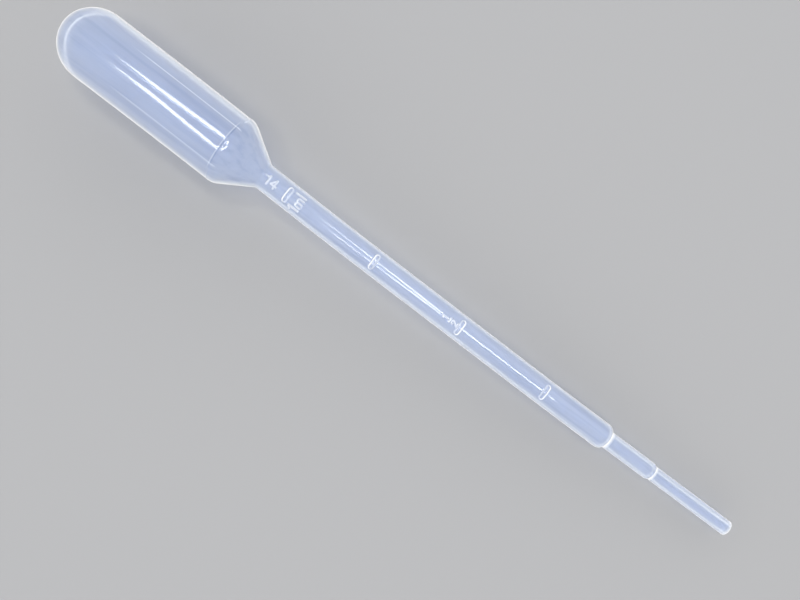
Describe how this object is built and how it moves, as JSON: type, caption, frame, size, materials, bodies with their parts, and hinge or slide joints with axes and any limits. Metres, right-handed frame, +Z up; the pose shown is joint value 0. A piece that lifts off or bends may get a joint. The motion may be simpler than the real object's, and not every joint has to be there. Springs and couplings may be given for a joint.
{
  "type": "dropper pipette",
  "caption": "One-piece moulded transfer pipette with a squeeze bulb, a graduated stem and a stepped open tip.",
  "frame": {"origin": "middle of the bottom face of the part's box, on the surface that it lies on", "axes": "+X along the pipette towards its tip, +Y across it, +Z up; the axis of revolution lies in the XZ plane and dips 2.6 degrees towards the tip"},
  "size_m": [0.1549, 0.0138, 0.0152],
  "materials": {
    "translucent_plastic": "natural low-density polyethylene, milky and see-through, smooth as moulded"
  },
  "bodies": {
    "root": {"pipette": "translucent_plastic"}
  },
  "joints": []
}
